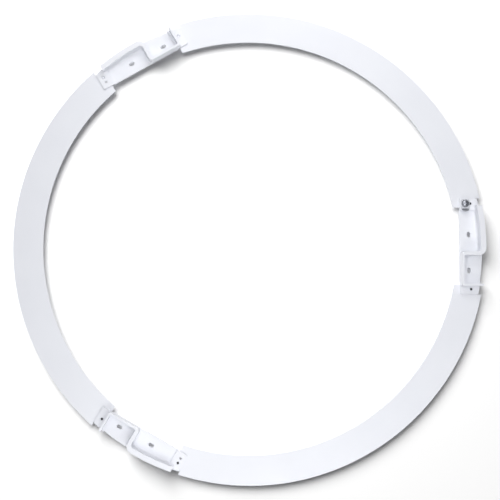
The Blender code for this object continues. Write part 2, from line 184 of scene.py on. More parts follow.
def turned(name, profile, spot, steps=64):
    """A turned solid: a profile of (radius, height) points, from the top of the axis to its bottom."""
    made = bmesh.new()
    rows = []
    for radius, height in profile:
        if radius < 1e-6:
            rows.append([made.verts.new((spot[0], spot[1], height))])
            continue
        ring = circle(spot, radius, steps)
        rows.append([made.verts.new((p.x, p.y, height)) for p in ring])
    for upper, lower in zip(rows, rows[1:]):
        for i in range(steps):
            j = (i + 1) % steps
            face = [upper[i % len(upper)], lower[i % len(lower)]]
            face += [lower[j % len(lower)], upper[j % len(upper)]]
            made.faces.new(list(dict.fromkeys(face)))
    bmesh.ops.recalc_face_normals(made, faces=made.faces)
    return new_object(name, made)


def settle(obj):
    """Applies an object's modifiers."""
    bpy.context.view_layer.update()
    graph = bpy.context.evaluated_depsgraph_get()
    obj.data = bpy.data.meshes.new_from_object(obj.evaluated_get(graph))
    obj.modifiers.clear()
    return obj


def combine(target, tool, operation):
    """Adds, cuts or crosses a second solid, and removes it."""
    modifier = target.modifiers.new("combine", "BOOLEAN")
    modifier.operation = operation
    modifier.object = tool
    modifier.solver = "EXACT"
    settle(target)
    bpy.data.objects.remove(tool)
    return target


# %% [markdown]
# ## Soft edges
#
# No real edge is razor sharp: sheet metal has a sheared edge under its powder coat, and a casting has
# fillets in its corners and a small radius on its rims. A Bevel modifier can give each edge its own width
# through edge weights, so hollow corners and outer edges each get their own radius here.


# %% Edge rounding
def soften(obj, hollow, outer, segments=3, sharper_than=32):
    """Rounds hollow corners with one radius and outer edges with another, in millimetres."""
    made = bmesh.new()
    made.from_mesh(obj.data)
    bmesh.ops.remove_doubles(made, verts=made.verts, dist=0.002)
    bmesh.ops.dissolve_limit(made, angle_limit=math.radians(0.05), verts=made.verts, edges=made.edges)
    widest = max(hollow, outer)
    weight = made.edges.layers.float.new("bevel_weight_edge")
    for edge in made.edges:
        if len(edge.link_faces) != 2:
            continue
        bend = math.degrees(edge.calc_face_angle_signed())
        if abs(bend) > sharper_than:
            edge[weight] = (outer if bend > 0 else hollow) / widest
    made.to_mesh(obj.data)
    made.free()
    bevel = obj.modifiers.new("soft edges", "BEVEL")
    bevel.limit_method = "WEIGHT"
    bevel.width = widest
    bevel.segments = segments
    bevel.use_clamp_overlap = True
    bevel.harden_normals = False
    return settle(obj)


def shade(obj, angle=35):
    """Smooth shading that leaves the large flat faces flat."""
    obj.data.shade_smooth()
    obj.data.set_sharp_from_angle(angle=math.radians(angle))
    weighted = obj.modifiers.new("flat faces", "WEIGHTED_NORMAL")
    weighted.keep_sharp = True
    return settle(obj)


def to_ring(obj, turn=0):
    """Turns a drawing round the ring, moves it to the ring's centre and scales it to metres."""
    place = Matrix.Translation((centre_x * MM, 0, 0)) @ Matrix.Rotation(turn * THIRD, 4, "Z")
    obj.data.transform(place @ Matrix.Scale(MM, 4))
    return obj


def copy_of(obj, name):
    twin = bpy.data.objects.new(name, obj.data.copy())
    bpy.context.scene.collection.objects.link(twin)
    return twin


# %% [markdown]
# ## Finishes: what they are made of
#
# A colour picked on a screen is an sRGB value, and Blender's shaders want linear light, so one function
# turns the first into the second. Another adds a node with its settings and links, so that each finish
# reads as a short list.


# %% Material tools
def linear(hex_code):
    """An sRGB hex colour as linear red, green, blue and alpha."""
    channels = [int(hex_code[i : i + 2], 16) / 255 for i in (1, 3, 5)]
    lit = [c / 12.92 if c <= 0.04045 else ((c + 0.055) / 1.055) ** 2.4 for c in channels]
    return (*lit, 1)


def node(tree, kind, settings=(), inputs=(), links=()):
    """Adds a node: settings are its own properties, inputs are socket values, links are (socket, source)."""
    made = tree.nodes.new(kind)
    for name, value in dict(settings).items():
        setattr(made, name, value)
    for name, value in dict(inputs).items():
        made.inputs[name].default_value = value
    for name, source in dict(links).items():
        tree.links.new(source, made.inputs[name])
    return made


def new_material(name):
    made = bpy.data.materials.new(name)
    made.use_nodes = True
    made.node_tree.nodes.clear()
    return made, made.node_tree


def waves_per_metre(size_mm):
    """Noise scale whose features are about this wide."""
    return 1 / (size_mm * MM)


# %% [markdown]
# ### Powder coat on sheet steel
#
# Powder is sprayed on dry and melts in an oven. It flows into a satin film of polyester with a faint orange
# peel: soft waves about 3 mm wide, and a finer grain of half-melted specks. It isn't metal to the eye, so
# metallic is 0 and the index of refraction is that of polyester, about 1.5. The grain is finer than a
# render of the whole ring can show, so it's drawn at 0.8 mm.


# %% Powder coat
def powder_coat(name, light_hex, shade_hex, roughness, peel_mm, grain_mm, peel_height, cloud_mm):
    made, tree = new_material(name)
    place = node(tree, "ShaderNodeTexCoord").outputs["Object"]
    cloud = node(
        tree,
        "ShaderNodeTexNoise",
        inputs={"Scale": waves_per_metre(cloud_mm), "Detail": 2, "Roughness": 0.45},
        links={"Vector": place},
    ).outputs["Fac"]
    peel = node(
        tree,
        "ShaderNodeTexNoise",
        inputs={"Scale": waves_per_metre(peel_mm), "Detail": 1.5, "Roughness": 0.4},
        links={"Vector": place},
    ).outputs["Fac"]
    grain = node(
        tree,
        "ShaderNodeTexNoise",
        inputs={"Scale": waves_per_metre(grain_mm), "Detail": 2, "Roughness": 0.6},
        links={"Vector": place},
    ).outputs["Fac"]
    tone = node(
        tree,
        "ShaderNodeMix",
        settings={"data_type": "RGBA"},
        inputs={"A": linear(light_hex), "B": linear(shade_hex)},
        links={"Factor": cloud},
    ).outputs["Result"]
    gloss = node(
        tree,
        "ShaderNodeMapRange",
        inputs={"From Min": 0.3, "From Max": 0.7, "To Min": roughness - 0.05, "To Max": roughness + 0.06},
        links={"Value": grain},
    ).outputs["Result"]
    waves = node(
        tree,
        "ShaderNodeBump",
        inputs={"Strength": 0.5, "Distance": peel_height * MM},
        links={"Height": peel},
    ).outputs["Normal"]
    specks = node(
        tree,
        "ShaderNodeBump",
        inputs={"Strength": 0.4, "Distance": peel_height * MM / 3},
        links={"Height": grain, "Normal": waves},
    ).outputs["Normal"]
    coat = node(
        tree,
        "ShaderNodeBsdfPrincipled",
        inputs={"Metallic": 0.0, "IOR": 1.5},
        links={"Base Color": tone, "Roughness": gloss, "Normal": specks},
    )
    node(tree, "ShaderNodeOutputMaterial", links={"Surface": coat.outputs["BSDF"]})
    return made


strip_coat = powder_coat("powder_coated_sheet_steel", "#EEF0F6", "#E6E8EF", 0.42, 3.0, 0.8, 0.03, 60)
print("strip finish:", strip_coat.name)

# %% [markdown]
# ### Powder coat on a die casting
#
# The brackets are cast in a steel mould and coated with the same powder. A casting keeps a little of its
# mould's texture, so its peel is finer and its tone a shade cooler, which also tells the brackets from the
# strips.

# %% Coated casting and painted rivets
casting_coat = powder_coat("powder_coated_die_casting", "#F0F2F8", "#E8EAF1", 0.38, 2.0, 0.6, 0.04, 25)
rivet_coat = powder_coat("painted_steel_rivet", "#ECEEF4", "#E4E6EE", 0.34, 1.2, 0.4, 0.02, 8)
print("white finishes:", casting_coat.name, rivet_coat.name)


# %% [markdown]
# ### Bright zinc plate
#
# The earth terminal must conduct, so it isn't painted. Zinc plate is a thin metal skin: metallic 1, the
# default index of refraction, and a grey that is a little blue. Rolling and stamping leave fine lines, and
# handling dulls it in patches, so its roughness isn't one number: each finish is given its smoothest and
# its dullest value.


# %% Zinc plate
def zinc_plate(name, light_hex, dull_hex, smooth, dull):
    made, tree = new_material(name)
    place = node(tree, "ShaderNodeTexCoord").outputs["Object"]
    patches = node(
        tree,
        "ShaderNodeTexNoise",
        inputs={"Scale": waves_per_metre(2.5), "Detail": 3, "Roughness": 0.6},
        links={"Vector": place},
    ).outputs["Fac"]
    stretched = node(
        tree, "ShaderNodeMapping", inputs={"Scale": (1, 9, 1)}, links={"Vector": place}
    ).outputs["Vector"]
    lines = node(
        tree,
        "ShaderNodeTexNoise",
        inputs={"Scale": waves_per_metre(1.2), "Detail": 2, "Roughness": 0.5},
        links={"Vector": stretched},
    ).outputs["Fac"]
    tone = node(
        tree,
        "ShaderNodeMix",
        settings={"data_type": "RGBA"},
        inputs={"A": linear(light_hex), "B": linear(dull_hex)},
        links={"Factor": patches},
    ).outputs["Result"]
    gloss = node(
        tree,
        "ShaderNodeMapRange",
        inputs={"From Min": 0.3, "From Max": 0.7, "To Min": smooth, "To Max": dull},
        links={"Value": patches},
    ).outputs["Result"]
    scratches = node(
        tree,
        "ShaderNodeBump",
        inputs={"Strength": 0.35, "Distance": 0.03 * MM},
        links={"Height": lines},
    ).outputs["Normal"]
    metal = node(
        tree,
        "ShaderNodeBsdfPrincipled",
        inputs={"Metallic": 1.0},
        links={"Base Color": tone, "Roughness": gloss, "Normal": scratches},
    )
    node(tree, "ShaderNodeOutputMaterial", links={"Surface": metal.outputs["BSDF"]})
    return made


# %% [markdown]
# ### Zinc in three tones, painted highlight and shade among them, and a dark bore
#
# The terminal's parts are drawn in three tones of one zinc plate. The screw's rolled head is the smoothest.
# The clamp washer is paler and rougher, which is a painted highlight on its flat and its lip. The lock washer
# is darker and greyer, which is painted shade for the shadow among its teeth. A rivet bore is a dark grey,
# darker and rougher than any of them: painted shade for the shadow down in the narrow well.

# %% Metal finishes
zinc = zinc_plate("bright_zinc_plated_steel", "#B9BCC4", "#8C8F97", 0.3, 0.45)
# Paler zinc for the clamp washer: a painted highlight.
zinc_painted_highlight = zinc_plate("zinc_plated_steel_painted_highlight", "#DADCE2", "#B6B9C1", 0.34, 0.5)
# Darker zinc for the lock washer: painted shade.
zinc_painted_shade = zinc_plate("zinc_plated_steel_painted_shade", "#7A7C82", "#55575C", 0.3, 0.45)
# Dark grey for deep rivet bores: painted shade, standing in for the shadow in a narrow well.
bore_painted_shade = zinc_plate("dark_bore_painted_shade", "#5C5E62", "#3C3D40", 0.45, 0.6)
print("metals:", [metal.name for metal in (zinc, zinc_painted_highlight, zinc_painted_shade, bore_painted_shade)])

# %% [markdown]
# ## Arc strips
#
# Each strip is cut from flat sheet steel 1.5 mm thick. Its ends step in to narrow tongues that slide under
# the brackets' tabs, and a rivet goes through each tongue. The strip is a prism of its outline with its
# sheared edges rounded. One outline serves all three strips.

# %% Strip sizes
STRIP_WIDTH = 37.5
TAPER_OFFSET = 3.0  # how far the inner edge's centre sits behind the ring's
SHOULDER_GAP = 0.8  # from a tab's end to the strip's full width
TONGUE_INSET = 2.6  # how far a tongue's outer edge is stepped in
PAST_LONG_RIVET, PAST_SHORT_RIVET = 4.9, 5.9  # from a rivet to the tongue's end
STRIP_EDGE = 0.32  # radius of a sheared edge under its coat
STRIP_RIVET_HOLE, STRIP_SCREW_HOLE = 2.3, 2.85
EDGE_STEPS, THROUGH = 160, 2  # points along a long arc, and a cutter's reach past the sheet
long_end = long_rivet.y - PAST_LONG_RIVET
short_end = short_rivet.y + PAST_SHORT_RIVET
tongue_radius = wall_outer - TONGUE_INSET
print(f"a strip is {STRIP_WIDTH} mm wide and {strip_top - strip_bottom:.1f} mm thick")

# %% [markdown]
# ### One strip
#
# The outline follows the outer edge, steps in to the far tongue, comes back along the inner edge and steps
# in to the near tongue. The inner edge is an arc whose centre sits behind the ring's centre, so the band
# narrows a little toward its ends. The holes are cut before the edges are rounded, so their rims are
# rounded too. The three strips are turned copies of one mesh, just as the real ones come off one press
# tool.


# %% One strip
def turned_points(points):
    return [Matrix.Rotation(THIRD, 2) @ p for p in points]


def strip_outline():
    """From the right bracket's two-hole tab to the next bracket's one-hole tab."""
    near, far = tab_high + SHOULDER_GAP, tab_low - SHOULDER_GAP
    first, last = math.asin(near / RING_RADIUS), THIRD + math.asin(far / RING_RADIUS)
    outer = arc((0, 0), RING_RADIUS, first, last, EDGE_STEPS)
    back = Vector((math.cos(THIRD / 2), math.sin(THIRD / 2))) * -TAPER_OFFSET
    radius = RING_RADIUS - STRIP_WIDTH + TAPER_OFFSET
    start = Vector((back.x + math.sqrt(radius**2 - (long_end - back.y) ** 2), long_end))
    away = Matrix.Rotation(-THIRD, 2) @ back
    end = Vector((away.x + math.sqrt(radius**2 - (short_end - away.y) ** 2), short_end))
    end = Matrix.Rotation(THIRD, 2) @ end
    inner = arc(
        back, radius, math.atan2(end.y - back.y, end.x - back.x),
        math.atan2(start.y - back.y, start.x - back.x), EDGE_STEPS,
    )
    far_tongue = turned_points(ring_arc(tongue_radius, far, short_end, 12))
    near_tongue = ring_arc(tongue_radius, long_end, near, 12)
    return outer + far_tongue + inner + near_tongue


def build_strip():
    strip = prism("strip", strip_outline(), strip_bottom, strip_top)
    holes = [(long_rivet.xy, STRIP_RIVET_HOLE), (terminal.xy, STRIP_SCREW_HOLE)]
    holes.append((turned_points([short_rivet.xy])[0], STRIP_RIVET_HOLE))
    for spot, radius in holes:
        hole = prism("hole", circle(spot, radius), strip_bottom - THROUGH, strip_top + THROUGH)
        combine(strip, hole, "DIFFERENCE")
    return shade(soften(strip, STRIP_EDGE, STRIP_EDGE, segments=3))


strip_pattern = build_strip()
for place, turn in STRIPS.items():
    strip = to_ring(copy_of(strip_pattern, f"strip_{place}"), turn)
    strip.data.materials.append(strip_coat)
    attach(strip, f"strip_{place}_body")
    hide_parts(f"arc_strip_{place}")
bpy.data.objects.remove(strip_pattern)
print("strip faces:", len(strip.data.polygons))

# %% [markdown]
# ## Brackets
#
# A bracket is one casting. Its floor lies on the ceiling, and two screws go through its slots. At both ends
# the plate steps up over the strips, as a tab. An S-shaped wall stands on it, which makes a long pocket
# open to the inside and a short pocket open to the outside. The plate is its side view, drawn as a joggled
# line and crossed with its plan. The wall is a loft with draft, wider at its foot.

# %% Bracket sizes
CROSS_LONG, CROSS_SHORT = -5.9, -10.3
OUTER_WALL, INNER_WALL, END_WALL = 6.6, 2.5, 2.5
FLOOR = 3.0
STEP_WEB = 1.4
LONG_STEP, SHORT_STEP = long_rivet.y - 8.5, short_rivet.y + 9.5  # where the floor steps up to each tab
END_FACE = SHORT_STEP - 2.9  # the wall at the short pocket's end
WALL_END = LONG_STEP + 5.5  # the outer wall runs on over the two-hole tab
FLOOR_EDGE = wall_outer - 1.9  # the walls stand out a little past the floor
INNER_FACE = inner_edge + 0.4
DRAFT = 0.35  # lean of a wall's face from foot to rim
TAB_BOTTOM = strip_top + 0.3
OUTER_CORNER, POCKET_CORNER, HEEL, SMALL = 9.0, 4.0, 4.0, 1.6  # corner radii, seen from above
PAST = 5.0  # how far a cutter runs past what it cuts
FILLET, RIM_EDGE, WALL_FOOT = 0.8, 0.6, 3.0  # edge radii, seen from the side
print(f"long pocket {LONG_STEP - CROSS_LONG:.1f} mm, short pocket {CROSS_SHORT - SHORT_STEP:.1f} mm")

# %% [markdown]
# ### The plate
#
# Seen from its end, the plate is a joggled line: a floor in the middle and a higher tab at each side. That
# side view is extruded across the bracket, and the plan view is extruded upward. What the two prisms share
# is the plate. It's the way a machinist reads a drawing with two views, and it keeps each view a plain list
# of points.


# %% Bracket plate
def side_view():
    """The joggled plate as (y, z) points."""
    high, low = tab_high + PAST, tab_low - PAST
    return [
        (high, TAB_BOTTOM), (high, tab_top), (LONG_STEP, tab_top), (LONG_STEP, FLOOR),
        (SHORT_STEP, FLOOR), (SHORT_STEP, tab_top), (low, tab_top), (low, TAB_BOTTOM),
        (SHORT_STEP - STEP_WEB, TAB_BOTTOM), (SHORT_STEP - STEP_WEB, 0),
        (LONG_STEP + STEP_WEB, 0), (LONG_STEP + STEP_WEB, TAB_BOTTOM),
    ]


def plan_view():
    """The plate's outline from above: a round outer edge and a straight inner one."""
    points = ring_arc(FLOOR_EDGE, tab_low, tab_high, 60)
    points += arc((inner_edge + SMALL, tab_high - SMALL), SMALL, math.pi / 2, math.pi, 6)
    points += arc((inner_edge + SMALL, tab_low + SMALL), SMALL, math.pi, 1.5 * math.pi, 6)
    return points


def slot_outline(spot, length, width):
    reach = (length - width) / 2
    upper = arc((spot[0], spot[1] + reach), width / 2, 0, math.pi, 14)
    return upper + arc((spot[0], spot[1] - reach), width / 2, math.pi, 2 * math.pi, 14)


def build_plate():
    plate = prism("plate", side_view(), inner_edge - PAST, wall_outer + PAST)
    plate.data.transform(Matrix(((0, 0, 1, 0), (1, 0, 0, 0), (0, 1, 0, 0), (0, 0, 0, 1))))
    return combine(plate, prism("plan", plan_view(), -PAST, tab_top + PAST), "INTERSECT")


# %% [markdown]
# ### The wall
#
# The wall stiffens the casting, and it has to leave its mould, so it's wider at its foot than at its rim. A
# quarter round leads the floor up into it, since a sharp inner corner would crack there. A bevel can't be
# this large next to such short edges, so the round is built into the loft: each layer is the same outline,
# grown a little less than the one below.


# %% Bracket wall
def wall_outline(grow):
    """Plan of the S-shaped wall; grow thickens it on the sides that face the pockets."""
    outer, pocket = wall_outer, wall_outer - OUTER_WALL - grow
    inside, short_side = INNER_FACE, INNER_FACE + INNER_WALL + grow
    cross_long, cross_short = CROSS_LONG + grow / 2, CROSS_SHORT - grow / 2
    end_face, end_back = END_FACE + grow, END_FACE - END_WALL
    small = SMALL
    big = corner_on_ring(outer, cross_short, OUTER_CORNER, 12)
    hollow = corner_on_ring(pocket, cross_long, POCKET_CORNER, 8)[::-1]
    points = ring_arc(outer, WALL_END, big[0].y, 30)[:-1] + big
    points += arc((short_side + small, cross_short - small), small, math.pi / 2, math.pi, 5)
    points += arc((short_side + small, end_face + small), small, math.pi, 1.5 * math.pi, 5)
    points += [Vector((ring_x(outer, end_face), end_face)), Vector((ring_x(outer, end_back), end_back))]
    points += arc((inside + small, end_back + small), small, 1.5 * math.pi, math.pi, 5)
    points += arc((inside + HEEL, cross_long - HEEL), HEEL, math.pi, math.pi / 2, 8)
    points += hollow + ring_arc(pocket, hollow[-1].y, WALL_END, 30)[1:]
    return points


def wall_layers(steps=6):
    """From the floor the wall curves up through a quarter round, then leans back by its draft."""
    layers = [(wall_outline(DRAFT + WALL_FOOT), 0.5)]
    for i in range(1, steps + 1):
        angle = math.pi / 2 * i / steps
        height = WALL_FOOT * (1 - math.cos(angle))
        lean = DRAFT * (1 - height / (wall_top - FLOOR))
        layers.append((wall_outline(lean + WALL_FOOT * (1 - math.sin(angle))), FLOOR + height))
    return layers + [(wall_outline(0), wall_top)]


def build_wall():
    wall = loft("wall", wall_layers())
    over = (TAB_BOTTOM + tab_top) / 2
    far = RING_RADIUS + PAST
    for low, high in ((LONG_STEP + STEP_WEB / 2, far), (-far, SHORT_STEP - STEP_WEB / 2)):
        combine(wall, block("under_tab", (0, low, -PAST), (far, high, over)), "DIFFERENCE")
    return wall


# %% [markdown]
# ### One bracket
#
# The wall and the plate become one solid, then the slots and holes are cut, and the edges are rounded last.
# A slot is longer than it's wide, so that a ceiling screw can sit anywhere along it.

# %% Slots and holes in a bracket
SLOT_LENGTH, SLOT_WIDTH = 7.5, 4.5
SLOT_FROM_INSIDE, SLOTS_MIDDLE, SLOT_REACH = 11.8, -6.75, 22.95  # place of the pair
TAPPED_HOLE, RIVET_HOLE = 1.65, 2.5  # radii
print(f"slots {SLOT_LENGTH} x {SLOT_WIDTH} mm, {2 * SLOT_REACH} mm apart")


# %% One bracket
def build_bracket():
    bracket = combine(build_plate(), build_wall(), "UNION")
    slot_x = inner_edge + SLOT_FROM_INSIDE
    places = [(slot_x, SLOTS_MIDDLE + side * SLOT_REACH) for side in (-1, 1)]
    openings = [slot_outline(spot, SLOT_LENGTH, SLOT_WIDTH) for spot in places]
    openings.append(circle(terminal.xy, TAPPED_HOLE, 28))
    openings += [circle(spot.xy, RIVET_HOLE, 36) for spot in (long_rivet, short_rivet)]
    for outline in openings:
        combine(bracket, prism("opening", outline, -PAST, tab_top + PAST), "DIFFERENCE")
    return shade(soften(bracket, FILLET, RIM_EDGE, segments=3))


bracket_pattern = build_bracket()
for place, turn in PLACES.items():
    bracket = to_ring(copy_of(bracket_pattern, f"casting_{place}"), turn)
    bracket.data.materials.append(casting_coat)
    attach(bracket, f"bracket_{place}_body")
    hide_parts(f"bracket_{place}")
bpy.data.objects.remove(bracket_pattern)
print("bracket faces:", len(bracket.data.polygons))

# %% [markdown]
# ## Rivets
#
# A semi-tubular rivet has a flat head on one side and a drilled end on the other. A punch flares the
# drilled end into the tab's countersink. From above it's a small round well: deep on most rivets, and
# shallow and white where it filled with paint. It's a turned profile, and the faces inside a deep bore
# get a dark grey material, which is painted shade: it stands in for the shadow down in the narrow well.


# %% Rivets
RIVET_BORE, DEEP_BORE, PAINTED_BORE = 1.5, 3.6, 1.5  # its radius, and its depth when open or filled with paint
SHANK, RIVET_FLARE, RIVET_HEAD = 2.0, 2.42, 3.4  # radii
HEAD_THICK, TOUCH_GAP = 0.6, 0.3
FILLED_WITH_PAINT = ("upper_left",)


def build_rivet(name, spot, filled):
    depth = PAINTED_BORE if filled else DEEP_BORE
    top = tab_top
    head_top = strip_bottom - TOUCH_GAP
    foot = head_top - HEAD_THICK
    profile = [
        (0, top - depth), (RIVET_BORE - 0.3, top - depth + 0.1), (RIVET_BORE, top - depth + 0.5),
        (RIVET_BORE, top - 0.35), (RIVET_BORE + 0.1, top - 0.1), (1.75, top), (2.2, top),
        (RIVET_FLARE, top - 0.08), (2.4, top - 0.3), (SHANK, top - 0.85), (SHANK, head_top),
        (3.2, head_top), (RIVET_HEAD, head_top - 0.15),
        (3.35, foot + 0.12), (3.1, foot), (0, foot),
    ]
    rivet = shade(turned(name, profile, spot, 48), 50)
    rivet.data.materials.append(rivet_coat)
    rivet.data.materials.append(bore_painted_shade)
    for face in rivet.data.polygons:
        reach = (face.center.xy - spot).length
        # The faces inside a deep bore get the dark grey: painted shade.
        if not filled and reach < RIVET_BORE + 0.02 and foot + 0.1 < face.center.z < top - 0.3:
            face.material_index = 1
    return rivet


for place, turn in PLACES.items():
    for tab, spot in (("two_hole_tab", long_rivet), ("one_hole_tab", short_rivet)):
        name = f"hollow_rivet_{place}_{tab}"
        rivet = to_ring(build_rivet(name, spot.xy, place in FILLED_WITH_PAINT), turn)
        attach(rivet, f"bracket_{place}_body")
        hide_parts(f"rivet_{place}_{tab}")
print("rivet faces:", len(rivet.data.polygons))

# %% [markdown]
# ## Earth terminal
#
# The earth lead is clamped under a pan-head screw. Below its head lie a toothed lock washer, whose twisted
# teeth bite into the metal, and a clamp washer with a raised lip that keeps the lead from slipping out.
# They are small, so their edges matter: each rim catches a line of light.

# %% Terminal heights
clamp_low, clamp_high = (Vector(c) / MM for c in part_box("terminal_clamp_washer"))
lock_low, lock_high = (Vector(c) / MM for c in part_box("terminal_lock_washer"))
screw_low, screw_high = (Vector(c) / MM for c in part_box("terminal_screw"))
CLAMP_THICK, CLAMP_BEND = 0.9, 4.5
WASHER_HOLE = 1.95
print(f"screw head top at {screw_high.z:.1f} mm, clamp washer from {clamp_low.z:.1f} mm")

# %% [markdown]
# ### Clamp washer
#
# It's a blank of sheet steel with one round end, and that end is bent up in a smooth S. As with the
# brackets' plate, a side view with the bend is crossed with a plan. The lip's curve is a smoothstep, the
# same easing that animators use, because sheet metal bends without corners.


# %% Clamp washer
def build_clamp():
    """A flat plate whose end over the pocket curls up, cut to a plan with one round end."""
    half = (clamp_high.x - clamp_low.x) / 2
    back, tip = clamp_high.y, clamp_low.y
    bend = tip + CLAMP_BEND
    under, over = clamp_low.z, clamp_low.z + CLAMP_THICK
    rise = clamp_high.z - over
    runs = [CLAMP_BEND * 1.3 * i / 16 for i in range(1, 17)]
    shares = [min(run / CLAMP_BEND, 1) for run in runs]
    lifts = [rise * share**2 * (3 - 2 * share) for share in shares]
    side = [(bend, under), (back + PAST, under), (back + PAST, over), (bend, over)]
    side += [(bend - run, over + lift) for run, lift in zip(runs, lifts)]
    side += [(bend - run, under + lift) for run, lift in zip(runs, lifts)][::-1]
    centre = terminal.x
    bent = prism("clamp", side, centre - half - PAST, centre + half + PAST)
    bent.data.transform(Matrix(((0, 0, 1, 0), (1, 0, 0, 0), (0, 1, 0, 0), (0, 0, 0, 1))))
    plan = arc((centre, tip + half), half, math.pi, 2 * math.pi, 32)
    plan += arc((centre + half - SMALL, back - SMALL), SMALL, 0, math.pi / 2, 6)
    plan += arc((centre - half + SMALL, back - SMALL), SMALL, math.pi / 2, math.pi, 6)
    combine(bent, prism("plan", plan, under - PAST, clamp_high.z + PAST), "INTERSECT")
    combine(bent, prism("hole", circle(terminal.xy, WASHER_HOLE), under - PAST, over + PAST), "DIFFERENCE")
    return shade(soften(bent, 0.15, 0.2, segments=2, sharper_than=40), 30)


# %% [markdown]
# ### Lock washer
#
# Each outer tooth is twisted, so that one edge bites the screw's head and the other bites the washer below.
# The ring of teeth is one closed strip of faces: its outer edge jumps between two radii, and a tooth's
# points are raised from one side to the other.


# %% Lock washer
TEETH, STEPS_PER_TOOTH, TOOTH_SHARE = 10, 8, 0.56
TOOTH_DEPTH, TWIST, LOCK_SKIN = 1.1, 0.36, 0.18


def build_lock_washer():
    """A ring whose outer teeth are twisted, one edge up and one down."""
    spot = terminal.xy
    bottom, top = lock_low.z, lock_high.z
    reach = (lock_high.x - lock_low.x) / 2
    made = bmesh.new()
    ring_low, ring_high, edge_low, edge_high = [], [], [], []
    steps = TEETH * STEPS_PER_TOOTH
    for i in range(steps):
        angle = 2 * math.pi * i / steps
        share = (i % STEPS_PER_TOOTH) / STEPS_PER_TOOTH
        on_tooth = share < TOOTH_SHARE
        radius = reach if on_tooth else reach - TOOTH_DEPTH
        twist = (share / TOOTH_SHARE - 0.5) * TWIST if on_tooth else 0
        low, high = bottom + LOCK_SKIN + twist, top - LOCK_SKIN + twist
        way = Vector((math.cos(angle), math.sin(angle)))
        for row, r, z in (
            (ring_low, WASHER_HOLE, bottom + LOCK_SKIN), (ring_high, WASHER_HOLE, top - LOCK_SKIN),
            (edge_low, radius, low), (edge_high, radius, high),
        ):
            point = spot + way * r
            row.append(made.verts.new((point.x, point.y, z)))
    for a, b in ((ring_low, ring_high), (ring_high, edge_high), (edge_high, edge_low), (edge_low, ring_low)):
        for i in range(steps):
            j = (i + 1) % steps
            made.faces.new((a[i], a[j], b[j], b[i]))
    bmesh.ops.recalc_face_normals(made, faces=made.faces)
    return shade(new_object("toothed_lock_washer", made), 25)


# %% [markdown]
# ### Screw
#
# A pan head is a low dome over a straight rim. The head and the shank are one turned profile, and the
# thread is a zigzag in it with a 0.7 mm pitch. A true thread is a helix, but so little of it shows under
# the tab that rings do. The cross recess is two tapered slots, cut by lofts that narrow toward their feet,
# as the driver's tip does.


# %% Screw
HEAD_HEIGHT, HEAD_RIM = 2.7, 1.2
THREAD_PITCH, THREAD_CORE, THREAD_CREST = 0.7, 1.05, 1.32
RECESS_LONG, RECESS_NARROW, RECESS_DEPTH = 2.35, 0.55, 1.7
SQUARE = ((-1, -1), (1, -1), (1, 1), (-1, 1))


def build_screw():
    """Pan head with a tapered cross recess, and a threaded shank."""
    spot = terminal.xy
    radius = (screw_high.x - screw_low.x) / 2
    top, under = screw_high.z, screw_high.z - HEAD_HEIGHT
    dome = [
        (radius * math.sin(a), under + HEAD_RIM + (top - under - HEAD_RIM) * math.cos(a))
        for a in [math.pi / 2 * i / 14 for i in range(15)]
    ]
    core = THREAD_CORE
    thread = []
    height = under
    while height > screw_low.z + 1.2:
        thread += [(core, height - 0.1), (THREAD_CREST, height - THREAD_PITCH / 2)]
        height -= THREAD_PITCH
    profile = dome + [(radius - 0.05, under + 0.15), (radius - 0.25, under), (core, under)]
    profile += thread[1:] + [(core, height), (core * 0.6, screw_low.z), (0, screw_low.z)]
    screw = turned("pan_head_screw", profile, spot, 72)
    for long_x in (True, False):
        reach = (RECESS_LONG, RECESS_NARROW) if long_x else (RECESS_NARROW, RECESS_LONG)
        foot = [(spot.x + sx * reach[0] * 0.55, spot.y + sy * reach[1] * 0.55) for sx, sy in SQUARE]
        mouth = [(spot.x + sx * reach[0] * 1.25, spot.y + sy * reach[1] * 1.25) for sx, sy in SQUARE]
        combine(screw, loft("recess", [(foot, top - RECESS_DEPTH), (mouth, top + 0.5)]), "DIFFERENCE")
    return shade(screw, 30)


# %% Terminal pieces
terminal_pieces = (
    # The clamp washer's finish holds a painted highlight, and the lock washer's finish holds painted shade.
    (build_clamp(), "clamp_washer", "terminal_washers_body", "terminal_clamp_washer", zinc_painted_highlight),
    (build_lock_washer(), "toothed_washer", "terminal_washers_body", "terminal_lock_washer", zinc_painted_shade),
    (build_screw(), "earth_screw", "terminal_screw_body", "terminal_screw", zinc),
)
for piece, name, body, replaced, finish in terminal_pieces:
    piece.name = name
    to_ring(piece)
    piece.data.materials.append(finish)
    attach(piece, body)
    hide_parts(replaced)
    print(name, len(piece.data.polygons), "faces")

# %% [markdown]
# ## Studio floor
#
# The ring lies a little above a wide sweep of white paper, so that a soft shadow shows all round it. The
# floor is a plain block, not part of the ring. Paper has no gloss to speak of, and its fibres are drawn
# as a faint 4 mm bump.


# %% Floor
def paper_floor():
    made, tree = new_material("white_paper_sweep")
    place = node(tree, "ShaderNodeTexCoord").outputs["Object"]
    fibre = node(
        tree,
        "ShaderNodeTexNoise",
        inputs={"Scale": waves_per_metre(4), "Detail": 3},
        links={"Vector": place},
    ).outputs["Fac"]
    tooth = node(
        tree, "ShaderNodeBump", inputs={"Strength": 0.05, "Distance": 0.1 * MM}, links={"Height": fibre}
    ).outputs["Normal"]
    paper = node(
        tree,
        "ShaderNodeBsdfPrincipled",
        inputs={"Base Color": linear("#FFFFFF"), "Roughness": 0.9, "Specular IOR Level": 0.2},
        links={"Normal": tooth},
    )
    node(tree, "ShaderNodeOutputMaterial", links={"Surface": paper.outputs["BSDF"]})
    return made


